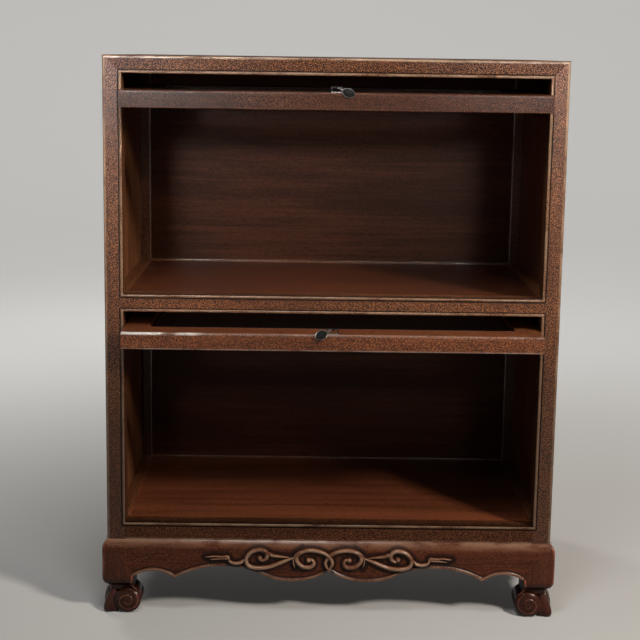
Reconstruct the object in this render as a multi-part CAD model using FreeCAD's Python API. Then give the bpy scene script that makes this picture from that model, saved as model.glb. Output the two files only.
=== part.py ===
import FreeCAD, Part
import math
import os

# A low hardwood display cabinet: a case of two compartments on a stand with scroll feet.
# Each compartment has a framed door that slides back level into a pocket under the rail above it.
# Both doors are drawn stowed. X is to the right, Y to the back and Z up, in millimetres and degrees.
# The origin is on the floor, in the middle of the part's plan.

# Case
case_width = 780.0
case_depth = 420.0
post_side = 32.0
top_rail_height = 30.0
upper_opening_height = 374.0
middle_rail_height = 30.0
lower_opening_height = 377.0
bottom_rail_height = 30.0

# Bead and quirk round each opening
bead_width = 5.2
bead_step = 0.8
quirk_width = 1.8
quirk_depth = 2.4

# Tenons of the rails: distance from the outer face, thickness, and wood left between two tenons in a post
tenon_inset = 6.0
tenon_thickness = 8.0
tenon_wall = 3.0
tenon_shoulder = 8.0
mitre_tenon_lift = 2.0
mitre_tenon_height = 8.0

# Floating panels
panel_thickness = 12.0
panel_play = 0.4
tongue_thickness = 6.0
tongue_length = 6.0
tongue_gap = 1.0
level_panel_sink = 4.0
side_panel_thickness = 10.0
side_panel_inset = 2.0
back_panel_thickness = 10.0
back_panel_inset = 12.0

# Battens under the level panels
batten_width = 34.0
batten_height = 12.0
batten_spacing = 300.0
batten_tenon = 8.0

# Stand
stand_height = 134.0
stand_overhang = 8.5
shoulder_height = 9.0
apron_thickness = 24.0
apron_drop = 69.0
leg_side = 54.0
leg_tenon_side = 12.0
knee_height = 66.0
ankle_height = 49.0
ankle_inset = 8.0
toe_height = 20.0
toe_reach = 3.5
sole_inset = 8.0
sole_length = 44.0
scroll_reach = 15.0
scroll_height = 19.5
scroll_top = 41.0

# Scalloped lower edges of the aprons, from the leg to the middle, as arcs through three points each.
# First the share of half the span between the legs, then the share of the apron's drop.
front_edge_shares = (
    (1.0, 0.957), (0.89, 0.79), (0.788, 0.975), (0.583, 0.652), (0.354, 0.826), (0.126, 1.0), (0.0, 0.746),
)
side_edge_shares = ((1.0, 0.957), (0.79, 0.79), (0.6, 0.975), (0.32, 0.72), (0.0, 0.9))

# Middle point of the curve under the knee, as shares of the rise and of the inset that it covers
knee_curve_shares = (0.22, 0.36)

# Doors
door_thickness = 29.0
door_side_gap = 1.5
door_top_gap = 4.0
door_bottom_gap = 3.5
door_setback = 3.0
door_reach = 45.0
pocket_gap = 26.0
stile_width = 42.0
door_rail_width = 48.0
door_arris_radius = 3.0
pane_thickness = 4.0
pane_edge_gap = 1.0
pane_cover = 11.0
rebate_width = 8.0
door_tenon_shares = (0.3, 0.55)
door_tenon_end_share = 0.12
door_tenon_thickness = 9.0

# Pivot pins, sliding shoes and the guides that they run in
pin_radius = 4.0
pin_clearance = 0.05
pin_depth = 22.0
shoe_length = 16.0
shoe_height = 14.0
shoe_thickness = 9.0
shoe_clearance = 0.3
guide_wall = 5.0

# Sprung ball catches under the stowed doors
ball_radius = 4.0
ball_reach = 3.0
ball_clearance = 0.1
barrel_radius = 4.6
barrel_length = 14.0
catch_setback = 80.0

# Drop pulls on the bottom rails of the doors
pull_setback = 5.6
plate_radius = 2.6
plate_thickness = 1.2
staple_span = 17.0
staple_wire_radius = 0.9
staple_rise = 8.5
staple_depth = 14.0
knuckle_radius = 2.2
knuckle_length = 5.0
knuckle_clearance = 0.25
pendant_length = 34.0
pendant_half_width = 8.5
pendant_neck_half_width = 1.1
pendant_neck_length = 11.5
pendant_belly = 23.0
pendant_thickness = 2.0
pendant_droop = 54.0
pendant_skew = 60.0

# Length by which a cutting shape runs past what it cuts
overrun = 2.0

# Places worked out from the sizes above
droop = math.radians(pendant_droop)
skew = math.radians(pendant_skew)
leaf_curve = Part.Arc(
    FreeCAD.Vector(pendant_neck_length, -pendant_neck_half_width, 0),
    FreeCAD.Vector(pendant_belly, -pendant_half_width, 0),
    FreeCAD.Vector(pendant_length, 0, 0),
).toShape().Curve
leaf_forward = FreeCAD.Vector(math.cos(skew), -math.sin(skew), 0)
leaf_reach = leaf_curve.Center.dot(leaf_forward) + leaf_curve.Radius
pendant_reach = leaf_reach * math.cos(droop) + pendant_thickness / 2 * math.sin(droop)
front_reach = door_reach - pull_setback + pendant_reach
back_reach = case_depth + stand_overhang + toe_reach
front = (front_reach - back_reach) / 2
back = front + case_depth
middle_y = (front + back) / 2
left = -case_width / 2
right = case_width / 2
inner_left = left + post_side
inner_right = right - post_side
inner_front = front + post_side
inner_back = back - post_side

floor_level = stand_height + bottom_rail_height
middle_bottom = floor_level + lower_opening_height
shelf_level = middle_bottom + middle_rail_height
top_bottom = shelf_level + upper_opening_height
case_top = top_bottom + top_rail_height

tenon_length = post_side - tenon_inset - tenon_thickness - tenon_wall
leg_tenon_height = bottom_rail_height - level_panel_sink - panel_thickness - tongue_gap
side_panel_x = left + side_panel_inset
back_panel_y = back - back_panel_inset - back_panel_thickness

stand_left = left - stand_overhang
stand_front = front - stand_overhang
stand_half_width = case_width / 2 + stand_overhang
stand_half_depth = case_depth / 2 + stand_overhang

pivot_drop = pocket_gap + door_thickness / 2
pivot_to_edge = pivot_drop - door_top_gap
door_half_width = inner_right - door_side_gap
shut_pivot_y = front + door_setback + door_thickness / 2
groove_depth = shoe_thickness + 2 * shoe_clearance
groove_half_height = shoe_height / 2 + shoe_clearance
ball_inset = ball_radius - ball_reach
ball_drop = math.sqrt(ball_radius ** 2 - (ball_inset + door_side_gap) ** 2) + ball_clearance
guide_rise = groove_half_height + guide_wall
guide_fall = door_thickness / 2 + ball_drop + barrel_radius + guide_wall


def vector(x, y, z):
    return FreeCAD.Vector(x, y, z)


def box(x0, x1, y0, y1, z0, z1):
    return Part.makeBox(x1 - x0, y1 - y0, z1 - z0, vector(x0, y0, z0))


def prism(points, direction):
    outline = Part.makePolygon(points + points[:1])
    return Part.Face(outline).extrude(direction)


def rod_along_x(x0, x1, y, z, radius):
    return Part.makeCylinder(radius, x1 - x0, vector(x0, y, z), vector(1, 0, 0))


def arc(first, middle, last):
    return Part.Arc(first, middle, last).toShape()


def line(first, last):
    return Part.LineSegment(first, last).toShape()


def swap_sides(shape):
    return shape.mirror(vector(0, 0, 0), vector(1, 0, 0))


def swap_ends(shape):
    return shape.mirror(vector(0, middle_y, 0), vector(0, 1, 0))


def cut_all(shape, tools):
    for tool in tools:
        shape = shape.cut(tool)
    return shape


def opening_trim(z0, z1):
    """The sunk bead and the quirk that run round one opening of the front frame."""
    def ring(inner, outer, depth):
        y0 = front - overrun
        y1 = front + depth
        whole = box(inner_left - outer, inner_right + outer, y0, y1, z0 - outer, z1 + outer)
        return whole.cut(box(inner_left - inner, inner_right + inner, y0, y1, z0 - inner, z1 + inner))
    return [ring(0, bead_width, bead_step), ring(bead_width, bead_width + quirk_width, quirk_depth)]


def top_front_rail():
    """Front rail of the top, mitred on its face and on its upper side, with a stub tenon at each end."""
    rail = box(left, right, front, inner_front, top_bottom, case_top)
    plan = [vector(left, front, top_bottom), vector(left, inner_front, top_bottom),
            vector(inner_left, inner_front, top_bottom)]
    face = [vector(left, front, case_top), vector(left, front, top_bottom),
            vector(inner_left, front, top_bottom)]
    wedges = [prism(plan, vector(0, 0, top_rail_height)), prism(face, vector(0, post_side, 0))]
    y0 = front + tenon_inset
    z0 = top_bottom + mitre_tenon_lift
    tenon = box(inner_left - tenon_length, inner_left, y0, y0 + tenon_thickness, z0, z0 + mitre_tenon_height)
    rail = cut_all(rail, wedges + [swap_sides(w) for w in wedges])
    return rail.fuse([tenon, swap_sides(tenon)]).removeSplitter()


def top_left_rail():
    """Left rail of the top, mitred to the front and back rails and to the posts."""
    rail = box(left, inner_left, front, back, top_bottom, case_top)
    plan = [vector(left, front, top_bottom), vector(inner_left, front, top_bottom),
            vector(inner_left, inner_front, top_bottom)]
    face = [vector(left, front, case_top), vector(left, front, top_bottom),
            vector(left, inner_front, top_bottom)]
    wedges = [prism(plan, vector(0, 0, top_rail_height)), prism(face, vector(post_side, 0, 0))]
    x0 = left + tenon_inset
    z0 = top_bottom + mitre_tenon_lift
    tenon = box(x0, x0 + tenon_thickness, inner_front - tenon_length, inner_front,
                z0, z0 + mitre_tenon_height)
    rail = cut_all(rail, wedges + [swap_ends(w) for w in wedges])
    return rail.fuse([tenon, swap_ends(tenon)]).removeSplitter()


def front_rail(z0, z1):
    """A front rail between the posts, with a tenon at each end."""
    rail = box(inner_left, inner_right, front, inner_front, z0, z1)
    y0 = front + tenon_inset
    tenon = box(inner_left - tenon_length, inner_left, y0, y0 + tenon_thickness, z0 + tenon_shoulder,
                z1 - tenon_shoulder)
    return rail.fuse([tenon, swap_sides(tenon)]).removeSplitter()


def left_rail(z0, z1):
    """A side rail between the posts, with a tenon at each end."""
    rail = box(left, inner_left, inner_front, inner_back, z0, z1)
    x0 = left + tenon_inset
    tenon = box(x0, x0 + tenon_thickness, inner_front - tenon_length, inner_front, z0 + tenon_shoulder,
                z1 - tenon_shoulder)
    return rail.fuse([tenon, swap_ends(tenon)]).removeSplitter()


def level_panel(top):
    """A level panel with a tongue on all four sides, and the groove that the tongue floats in."""
    bottom = top - panel_thickness

    def plate(reach, z1):
        return box(inner_left - reach, inner_right + reach, inner_front - reach, inner_back + reach,
                   bottom, z1)
    panel = plate(-panel_play, top).fuse(plate(tongue_length, bottom + tongue_thickness)).removeSplitter()
    return panel, plate(tongue_length + tongue_gap, bottom + tongue_thickness)


def battens(panel_top):
    """Two battens under a level panel, tenoned into the front and back rails."""
    z1 = panel_top - panel_thickness
    x0 = batten_spacing / 2 - batten_width / 2
    batten = box(x0, x0 + batten_width, inner_front - batten_tenon, inner_back + batten_tenon,
                 z1 - batten_height, z1)
    return [swap_sides(batten), batten]


def left_panel(z0, z1):
    """A side panel between two side rails, and its groove."""
    x1 = side_panel_x + side_panel_thickness

    def plate(reach):
        return box(side_panel_x, x1, inner_front - reach, inner_back + reach, z0 - reach, z1 + reach)
    return plate(tongue_length), plate(tongue_length + tongue_gap)


def back_panel(z0, z1):
    """A back panel between two back rails, and its groove."""
    y1 = back_panel_y + back_panel_thickness

    def plate(reach):
        return box(inner_left - reach, inner_right + reach, back_panel_y, y1, z0 - reach, z1 + reach)
    return plate(tongue_length), plate(tongue_length + tongue_gap)


def scalloped_edges(half_span, middle, shares, place):
    """The lower edge of an apron as arcs, from its near leg to its far leg."""
    half = [(across * half_span, stand_height - drop * apron_drop) for across, drop in shares]
    near = [place(middle - across, z) for across, z in half]
    far = [place(middle + across, z) for across, z in reversed(half)]
    points = near + far[1:]
    return [arc(*points[start:start + 3]) for start in range(0, len(points) - 1, 2)], points


def apron_blank(half_length, middle, shares, place, inward):
    """An apron with its scalloped edge, before its ends are mitred."""
    half_span = half_length - leg_side
    scallops, points = scalloped_edges(half_span, middle, shares, place)
    near_top = place(middle - half_length, stand_height)
    far_top = place(middle + half_length, stand_height)
    near_foot = place(middle - half_length, points[0].z)
    far_foot = place(middle + half_length, points[-1].z)
    edges = [line(far_top, near_top), line(near_top, near_foot), line(near_foot, points[0])]
    edges += scallops
    edges += [line(points[-1], far_foot), line(far_foot, far_top)]
    return Part.Face(Part.Wire(edges)).extrude(inward)


def front_shoulder():
    """The wedge that slopes the front top edge of the stand."""
    low = stand_height - shoulder_height
    section = [vector(stand_left, stand_front, stand_height),
               vector(stand_left, stand_front + stand_overhang, stand_height),
               vector(stand_left, stand_front, low)]
    return prism(section, vector(2 * stand_half_width, 0, 0))


def left_shoulder():
    """The wedge that slopes the left top edge of the stand."""
    low = stand_height - shoulder_height
    section = [vector(stand_left, stand_front, stand_height),
               vector(stand_left + stand_overhang, stand_front, stand_height),
               vector(stand_left, stand_front, low)]
    return prism(section, vector(0, 2 * stand_half_depth, 0))


def front_apron():
    """The front apron, mitred over the legs on its face and to the side aprons in plan."""
    def place(x, z):
        return vector(x, stand_front, z)
    apron = apron_blank(stand_half_width, 0, front_edge_shares, place, vector(0, apron_thickness, 0))
    low = stand_height - leg_side
    seam = stand_left + leg_side
    face = [place(stand_left, stand_height), place(seam, low), place(seam, 0), place(stand_left, 0)]
    plan = [vector(stand_left, stand_front, 0), vector(stand_left, stand_front + apron_thickness, 0),
            vector(stand_left + apron_thickness, stand_front + apron_thickness, 0)]
    wedges = [prism(face, vector(0, apron_thickness, 0)), prism(plan, vector(0, 0, stand_height))]
    return cut_all(apron, wedges + [swap_sides(w) for w in wedges] + [front_shoulder()])


def left_apron():
    """The left apron, mitred over the legs on its face and to the front and back aprons in plan."""
    def place(y, z):
        return vector(stand_left, y, z)
    apron = apron_blank(stand_half_depth, middle_y, side_edge_shares, place, vector(apron_thickness, 0, 0))
    low = stand_height - leg_side
    seam = stand_front + leg_side
    face = [place(stand_front, stand_height), place(seam, low), place(seam, 0), place(stand_front, 0)]
    plan = [vector(stand_left, stand_front, 0), vector(stand_left + apron_thickness, stand_front, 0),
            vector(stand_left + apron_thickness, stand_front + apron_thickness, 0)]
    wedges = [prism(face, vector(apron_thickness, 0, 0)), prism(plan, vector(0, 0, stand_height))]
    return cut_all(apron, wedges + [swap_ends(w) for w in wedges] + [left_shoulder()])


def leg_outline(place):
    """Outline of a leg and its scroll foot as seen square on, from the stand's outer face inwards."""
    rise, inset = knee_curve_shares
    shoulder_low = stand_height - shoulder_height
    sole_end = sole_inset + sole_length
    knee_middle = place(ankle_inset * inset, ankle_height + (knee_height - ankle_height) * rise)
    scroll_out = leg_side + scroll_reach
    edges = [
        line(place(leg_side, stand_height), place(stand_overhang, stand_height)),
        line(place(stand_overhang, stand_height), place(0, shoulder_low)),
        line(place(0, shoulder_low), place(0, knee_height)),
        arc(place(0, knee_height), knee_middle, place(ankle_inset, ankle_height)),
        arc(place(ankle_inset, ankle_height), place(-toe_reach, toe_height), place(sole_inset, 0)),
        line(place(sole_inset, 0), place(sole_end, 0)),
        arc(place(sole_end, 0), place(scroll_out, scroll_height), place(leg_side, scroll_top)),
        line(place(leg_side, scroll_top), place(leg_side, stand_height)),
    ]
    return Part.Face(Part.Wire(edges))


def front_left_leg(aprons):
    """A leg with the same outline on its two outer faces, cut for the aprons, with a tenon for the post."""
    reach = leg_side + scroll_reach + toe_reach
    x0 = stand_left - toe_reach
    y0 = stand_front - toe_reach
    seen_from_front = leg_outline(lambda inward, z: vector(stand_left + inward, y0, z))
    seen_from_side = leg_outline(lambda inward, z: vector(x0, stand_front + inward, z))
    leg = seen_from_front.extrude(vector(0, reach, 0)).common(seen_from_side.extrude(vector(reach, 0, 0)))
    leg = cut_all(leg, aprons)
    x1 = inner_left - tenon_wall
    y1 = inner_front - tenon_wall
    tenon = box(x1 - leg_tenon_side, x1, y1 - leg_tenon_side, y1,
                stand_height, stand_height + leg_tenon_height)
    return leg.fuse(tenon).removeSplitter()


def left_guide(opening_top, rest_pivot_y):
    """A grooved guide on the left side wall, and the groove, which runs on into the front post."""
    pivot_z = opening_top - pivot_drop
    x0 = side_panel_x + side_panel_thickness
    guide = box(x0, inner_left, inner_front, inner_back, pivot_z - guide_fall, pivot_z + guide_rise)
    run = shoe_length / 2 + shoe_clearance
    groove = box(inner_left - groove_depth, inner_left + overrun, shut_pivot_y - run, rest_pivot_y + run,
                 pivot_z - groove_half_height, pivot_z + groove_half_height)
    return guide, groove


def left_catch(opening_top):
    """A ball catch: a barrel let into the guide, with a ball that stands out under the stowed door."""
    y = front + catch_setback
    z = opening_top - pivot_drop - door_thickness / 2 - ball_drop
    barrel = rod_along_x(inner_left - barrel_length, inner_left, y, z, barrel_radius)
    ball = Part.makeSphere(ball_radius, vector(inner_left - ball_inset, y, z))
    return barrel.fuse(ball).removeSplitter(), barrel


def door_frame(y0, y1, z0, z1):
    """Two stiles and two rails, mitred and tenoned, rebated for the pane from the inner face."""
    half = door_half_width
    sight_x = half - stile_width
    sight_front = y0 + door_rail_width
    sight_back = y1 - door_rail_width
    up = vector(0, 0, z1 - z0)
    bottom = prism([vector(-half, y0, z0), vector(half, y0, z0), vector(sight_x, sight_front, z0),
                    vector(-sight_x, sight_front, z0)], up)
    top = prism([vector(-half, y1, z0), vector(half, y1, z0), vector(sight_x, sight_back, z0),
                 vector(-sight_x, sight_back, z0)], up)
    stile = prism([vector(-half, y0, z0), vector(-sight_x, sight_front, z0), vector(-sight_x, sight_back, z0),
                   vector(-half, y1, z0)], up)
    near, far = door_tenon_shares
    x0 = -half + door_tenon_end_share * stile_width
    x1 = -half + far * stile_width
    tenon_z0 = z1 - pane_cover + (pane_cover - door_tenon_thickness) / 2
    tenon_z1 = tenon_z0 + door_tenon_thickness
    low_tenon = box(x0, x1, y0 + near * door_rail_width, y0 + far * door_rail_width, tenon_z0, tenon_z1)
    high_tenon = box(x0, x1, y1 - far * door_rail_width, y1 - near * door_rail_width, tenon_z0, tenon_z1)
    rebate_x = sight_x + rebate_width
    rebate = box(-rebate_x, rebate_x, sight_front - rebate_width, sight_back + rebate_width,
                 z0, z1 - pane_cover)
    round_y = y0 + door_arris_radius
    round_z = z1 - door_arris_radius
    arris = box(-half, half, y0, round_y, round_z, z1)
    arris = arris.cut(rod_along_x(-half, half, round_y, round_z, door_arris_radius))
    bottom = cut_all(bottom.fuse([low_tenon, swap_sides(low_tenon)]), [rebate, arris]).removeSplitter()
    top = cut_all(top.fuse([high_tenon, swap_sides(high_tenon)]), [rebate]).removeSplitter()
    left_stile = cut_all(stile, [bottom, top, rebate, arris])
    return left_stile, bottom, top


def door_glazing(y0, y1, z0, z1):
    """The pane in its rebate and the four glazing beads that hold it."""
    x = door_half_width - stile_width + rebate_width
    front_y = y0 + door_rail_width - rebate_width
    back_y = y1 - door_rail_width + rebate_width
    pane_top = z1 - pane_cover
    pane_bottom = pane_top - pane_thickness
    pane = box(-x + pane_edge_gap, x - pane_edge_gap, front_y + pane_edge_gap, back_y - pane_edge_gap,
               pane_bottom, pane_top)
    long_beads = [box(-x, x, front_y, front_y + rebate_width, z0, pane_bottom),
                  box(-x, x, back_y - rebate_width, back_y, z0, pane_bottom)]
    short_bead = box(-x, -x + rebate_width, front_y + rebate_width, back_y - rebate_width, z0, pane_bottom)
    return pane, Part.makeCompound(long_beads + [short_bead, swap_sides(short_bead)])


def left_pivot(y, z):
    """A pivot pin in the door's left stile, the shoe that it turns in, and the pin's hole in the stile."""
    shoe_x1 = inner_left - shoe_clearance
    shoe_x0 = shoe_x1 - shoe_thickness
    edge = -door_half_width
    pin = rod_along_x(shoe_x0, edge + pin_depth, y, z, pin_radius)
    bore = rod_along_x(shoe_x0 - overrun, shoe_x1 + overrun, y, z, pin_radius + pin_clearance)
    shoe = box(shoe_x0, shoe_x1, y - shoe_length / 2, y + shoe_length / 2,
               z - shoe_height / 2, z + shoe_height / 2)
    return pin, shoe.cut(bore)


def pull_plate_and_staple(y, z):
    """An oblong plate on the door's outer face, and the staple that is driven through it."""
    reach = staple_span / 2
    ends = [Part.makeCylinder(plate_radius, plate_thickness, vector(x, y, z)) for x in (-reach, reach)]
    plate = box(-reach, reach, y - plate_radius, y + plate_radius, z, z + plate_thickness)
    plate = plate.fuse(ends).removeSplitter()
    bar = rod_along_x(-reach, reach, y, z + staple_rise, staple_wire_radius)
    legs = [Part.makeCylinder(staple_wire_radius, staple_rise + staple_depth, vector(x, y, z - staple_depth))
            for x in (-reach, reach)]
    corners = [Part.makeSphere(staple_wire_radius, vector(x, y, z + staple_rise)) for x in (-reach, reach)]
    staple = bar.fuse(legs + corners).removeSplitter()
    return plate.cut(staple), staple


def pull_pendant(y, z, side):
    """A leaf-shaped pendant on the staple, lying skewed to one side and drooping over the door's edge."""
    along = vector(side * math.sin(skew), -math.cos(skew), 0)
    across = vector(math.cos(skew), side * math.sin(skew), 0)
    low = vector(0, 0, -pendant_thickness / 2)

    def spot(length, width):
        return along * length + across * width + low
    neck = pendant_neck_half_width
    edges = [
        line(spot(0, -neck), spot(0, neck)),
        line(spot(0, neck), spot(pendant_neck_length, neck)),
        arc(spot(pendant_neck_length, neck), spot(pendant_belly, pendant_half_width),
            spot(pendant_length, 0)),
        arc(spot(pendant_length, 0), spot(pendant_belly, -pendant_half_width),
            spot(pendant_neck_length, -neck)),
        line(spot(pendant_neck_length, -neck), spot(0, -neck)),
    ]
    leaf = Part.Face(Part.Wire(edges)).extrude(vector(0, 0, pendant_thickness))
    knuckle = rod_along_x(-knuckle_length / 2, knuckle_length / 2, 0, 0, knuckle_radius)
    eye = rod_along_x(-staple_span, staple_span, 0, 0, staple_wire_radius + knuckle_clearance)
    pendant = leaf.fuse(knuckle).cut(eye).removeSplitter()
    pendant.rotate(vector(0, 0, 0), vector(1, 0, 0), pendant_droop)
    pendant.translate(vector(0, y, z + staple_rise))
    return pendant


def door(label, opening_top, opening_height, pendant_side):
    """All the pieces of one stowed door, with its shoes, guides, catches and pull, and its guide grooves."""
    y0 = front - door_reach
    y1 = y0 + opening_height - door_top_gap - door_bottom_gap
    z1 = opening_top - pocket_gap
    z0 = z1 - door_thickness
    pivot_y = y1 - pivot_to_edge
    pivot_z = opening_top - pivot_drop
    left_stile, bottom, top = door_frame(y0, y1, z0, z1)
    pane, glazing_beads = door_glazing(y0, y1, z0, z1)
    pin, shoe = left_pivot(pivot_y, pivot_z)
    plate, staple = pull_plate_and_staple(y0 + pull_setback, z1)
    guide, groove = left_guide(opening_top, pivot_y)
    catch, barrel = left_catch(opening_top)
    left_stile = left_stile.cut(pin)
    guide = cut_all(guide, [groove, barrel])
    pieces = {
        "door_left_stile": left_stile,
        "door_right_stile": swap_sides(left_stile),
        "door_bottom_rail": bottom.cut(staple),
        "door_top_rail": top,
        "door_pane": pane,
        "door_glazing_beads": glazing_beads,
        "door_pivot_pins": Part.makeCompound([pin, swap_sides(pin)]),
        "door_shoes": Part.makeCompound([shoe, swap_sides(shoe)]),
        "door_guides": Part.makeCompound([guide, swap_sides(guide)]),
        "ball_catches": Part.makeCompound([catch, swap_sides(catch)]),
        "pull_plate": plate,
        "pull_staple": staple,
        "pull_pendant": pull_pendant(y0 + pull_setback, z1, pendant_side),
    }
    return {label + "_" + name: piece for name, piece in pieces.items()}, groove


def stand():
    """Four aprons and four legs."""
    front_piece = front_apron()
    left_piece = left_apron()
    leg = front_left_leg([front_piece, left_piece])
    return {
        "front_apron": front_piece,
        "back_apron": swap_ends(front_piece),
        "left_apron": left_piece,
        "right_apron": swap_sides(left_piece),
        "front_left_leg": leg,
        "front_right_leg": swap_sides(leg),
        "back_left_leg": swap_ends(leg),
        "back_right_leg": swap_sides(swap_ends(leg)),
    }


def case(leg, door_grooves):
    """Posts, rails, panels and battens of the case."""
    openings = {"lower": (floor_level, middle_bottom), "upper": (shelf_level, top_bottom)}
    trims = opening_trim(*openings["lower"]) + opening_trim(*openings["upper"])
    panel_tops = {
        "top_panel": case_top,
        "shelf_panel": shelf_level - level_panel_sink,
        "floor_panel": floor_level - level_panel_sink,
    }
    pieces = {}
    grooves = []
    for name, panel_top in panel_tops.items():
        pieces[name], groove = level_panel(panel_top)
        grooves.append(groove)
    all_battens = [b for panel_top in panel_tops.values() for b in battens(panel_top)]
    pieces["panel_battens"] = Part.makeCompound(all_battens)
    left_grooves = []
    for label, heights in openings.items():
        left_piece, left_groove = left_panel(*heights)
        left_grooves.append(left_groove)
        pieces[label + "_left_panel"] = left_piece
        pieces[label + "_right_panel"] = swap_sides(left_piece)
        pieces[label + "_back_panel"], groove = back_panel(*heights)
        grooves.append(groove)
    rail_heights = {
        "middle": (middle_bottom, shelf_level),
        "bottom": (stand_height, floor_level),
    }
    front_blanks = {"top": top_front_rail()}
    left_blanks = {"top": top_left_rail()}
    for label, heights in rail_heights.items():
        front_blanks[label] = front_rail(*heights)
        left_blanks[label] = left_rail(*heights)
    left_rails = []
    front_rails = []
    back_rails = []
    for label, blank in front_blanks.items():
        front_rails.append(cut_all(blank, grooves + all_battens + trims))
        back_rails.append(cut_all(swap_ends(blank), grooves + all_battens))
        left_rails.append(cut_all(left_blanks[label], grooves + left_grooves))
        pieces[label + "_front_rail"] = front_rails[-1]
        pieces[label + "_back_rail"] = back_rails[-1]
        pieces[label + "_left_rail"] = left_rails[-1]
        pieces[label + "_right_rail"] = swap_sides(left_rails[-1])
    blank = box(left, inner_left, front, inner_front, stand_height, case_top)
    shared = left_rails + grooves + left_grooves
    front_post = cut_all(blank, front_rails + shared + trims + door_grooves + [leg])
    back_post = cut_all(swap_ends(blank), back_rails + shared + [swap_ends(leg)])
    pieces["front_left_post"] = front_post
    pieces["front_right_post"] = swap_sides(front_post)
    pieces["back_left_post"] = back_post
    pieces["back_right_post"] = swap_sides(back_post)
    return pieces


def main():
    pieces = stand()
    upper, upper_groove = door("upper", top_bottom, upper_opening_height, 1)
    lower, lower_groove = door("lower", middle_bottom, lower_opening_height, -1)
    pieces.update(case(pieces["front_left_leg"], [upper_groove, lower_groove]))
    pieces.update(upper)
    pieces.update(lower)
    os.makedirs("parts", exist_ok=True)
    for name, piece in pieces.items():
        if not piece.isValid():
            raise ValueError("not a valid solid: " + name)
        piece.exportStep(os.path.join("parts", name + ".step"))
        print(name, len(piece.Solids), "solids", round(piece.Volume), "mm3")


main()
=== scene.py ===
import math

import bmesh
import bpy
from mathutils import Matrix, Vector
from mathutils.kdtree import KDTree


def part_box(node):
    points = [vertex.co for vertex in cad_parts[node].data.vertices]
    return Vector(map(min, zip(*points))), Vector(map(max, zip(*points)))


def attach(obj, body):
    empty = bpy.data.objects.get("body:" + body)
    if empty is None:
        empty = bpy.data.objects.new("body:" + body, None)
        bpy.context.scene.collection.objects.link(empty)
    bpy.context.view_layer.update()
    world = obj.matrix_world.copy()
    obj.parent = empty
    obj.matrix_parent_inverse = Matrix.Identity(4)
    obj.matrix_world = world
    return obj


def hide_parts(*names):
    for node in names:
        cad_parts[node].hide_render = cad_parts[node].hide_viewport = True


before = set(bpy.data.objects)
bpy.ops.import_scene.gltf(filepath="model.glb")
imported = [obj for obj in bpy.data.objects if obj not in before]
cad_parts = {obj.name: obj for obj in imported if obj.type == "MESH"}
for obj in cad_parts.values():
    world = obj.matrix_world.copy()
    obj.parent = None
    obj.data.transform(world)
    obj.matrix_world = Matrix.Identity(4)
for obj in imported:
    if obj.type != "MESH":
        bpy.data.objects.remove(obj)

bl_info = {
    "name": "Display cabinet",
    "version": (1, 0, 0),
    "blender": (4, 5, 0),
    "location": "3D View > Sidebar > Cabinet",
    "description": "Dresses a hardwood display cabinet with two up-and-over doors",
    "category": "Object",
}

MM = 0.001
TINY = 1e-6


# Settings that a user would change.

def colour(name, description, default):
    return bpy.props.FloatVectorProperty(name=name, description=description, default=default, subtype="COLOR",
                                         size=3, min=0.0, max=1.0)


def length(name, description, default):
    return bpy.props.FloatProperty(name=name, description=description, default=default, min=0.0, unit="LENGTH",
                                   subtype="DISTANCE")


def share(name, description, default):
    return bpy.props.FloatProperty(name=name, description=description, default=default, min=0.0, max=1.0,
                                   subtype="FACTOR")


def power(name, description, default):
    return bpy.props.FloatProperty(name=name, description=description, default=default, min=0.0, unit="POWER")


class CabinetWoodSettings(bpy.types.PropertyGroup):
    """Tones of the hardwood."""
    dark: colour("Dark grain", "Late wood and deep pores", (0.014, 0.0045, 0.0020))
    middle: colour("Middle grain", "Main body of the wood", (0.138, 0.0430, 0.0178))
    light: colour("Light grain", "Early wood", (0.340, 0.104, 0.034))
    fleck: colour("Pore filling", "Pale filler that sits in the open pores", (0.58, 0.27, 0.105))
    flecks: share("Pore share", "How strongly the filled pores show", 0.65)
    gloss: share("Roughness", "Roughness of the oiled surface", 0.40)


class CabinetMouldingSettings(bpy.types.PropertyGroup):
    """Edges of the framing."""
    arris: length("Arris radius", "Rounding of the outer edges", 3.2 * MM)
    bead: length("Bead width", "Width of the bead round each opening", 5.2 * MM)
    quirk: length("Quirk width", "Groove beside the bead", 1.8 * MM)
    quirk_depth: length("Quirk depth", "Depth of the groove beside the bead", 2.4 * MM)
    softening: length("Softened edge", "Small rounding on plain members", 0.7 * MM)


class CabinetCarvingSettings(bpy.types.PropertyGroup):
    """Carved work on the stand."""
    strand: length("Strand width", "Full width of a carved strand", 9.8 * MM)
    relief: length("Relief", "Height of the strands above the apron", 6.4 * MM)
    edge_bead: length("Edge bead", "Width of the bead on the shaped edge", 4.8 * MM)
    edge_rise: length("Edge bead rise", "Height of the bead on the shaped edge", 1.4 * MM)


class CabinetMetalSettings(bpy.types.PropertyGroup):
    """Metal fittings."""
    iron: colour("Pull metal", "Dark tarnished pulls", (0.012, 0.0115, 0.0115))
    brass: colour("Brass", "Shoes, pins and catches", (0.50, 0.36, 0.16))


class CabinetStageSettings(bpy.types.PropertyGroup):
    """Floor, lamps and camera."""
    floor: colour("Floor", "Plain pale floor", (0.60, 0.59, 0.57))
    key: power("Key lamp", "Power of the lamp at the right", 40.0)
    top: power("Top lamp", "Power of the broad lamp above the front", 8.0)
    fill: power("Fill lamp", "Power of the narrow lamps beside the camera", 1.0)
    back: power("Back lamp", "Power of the lamp behind the left side", 14.0)


# Shader sums.

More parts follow.
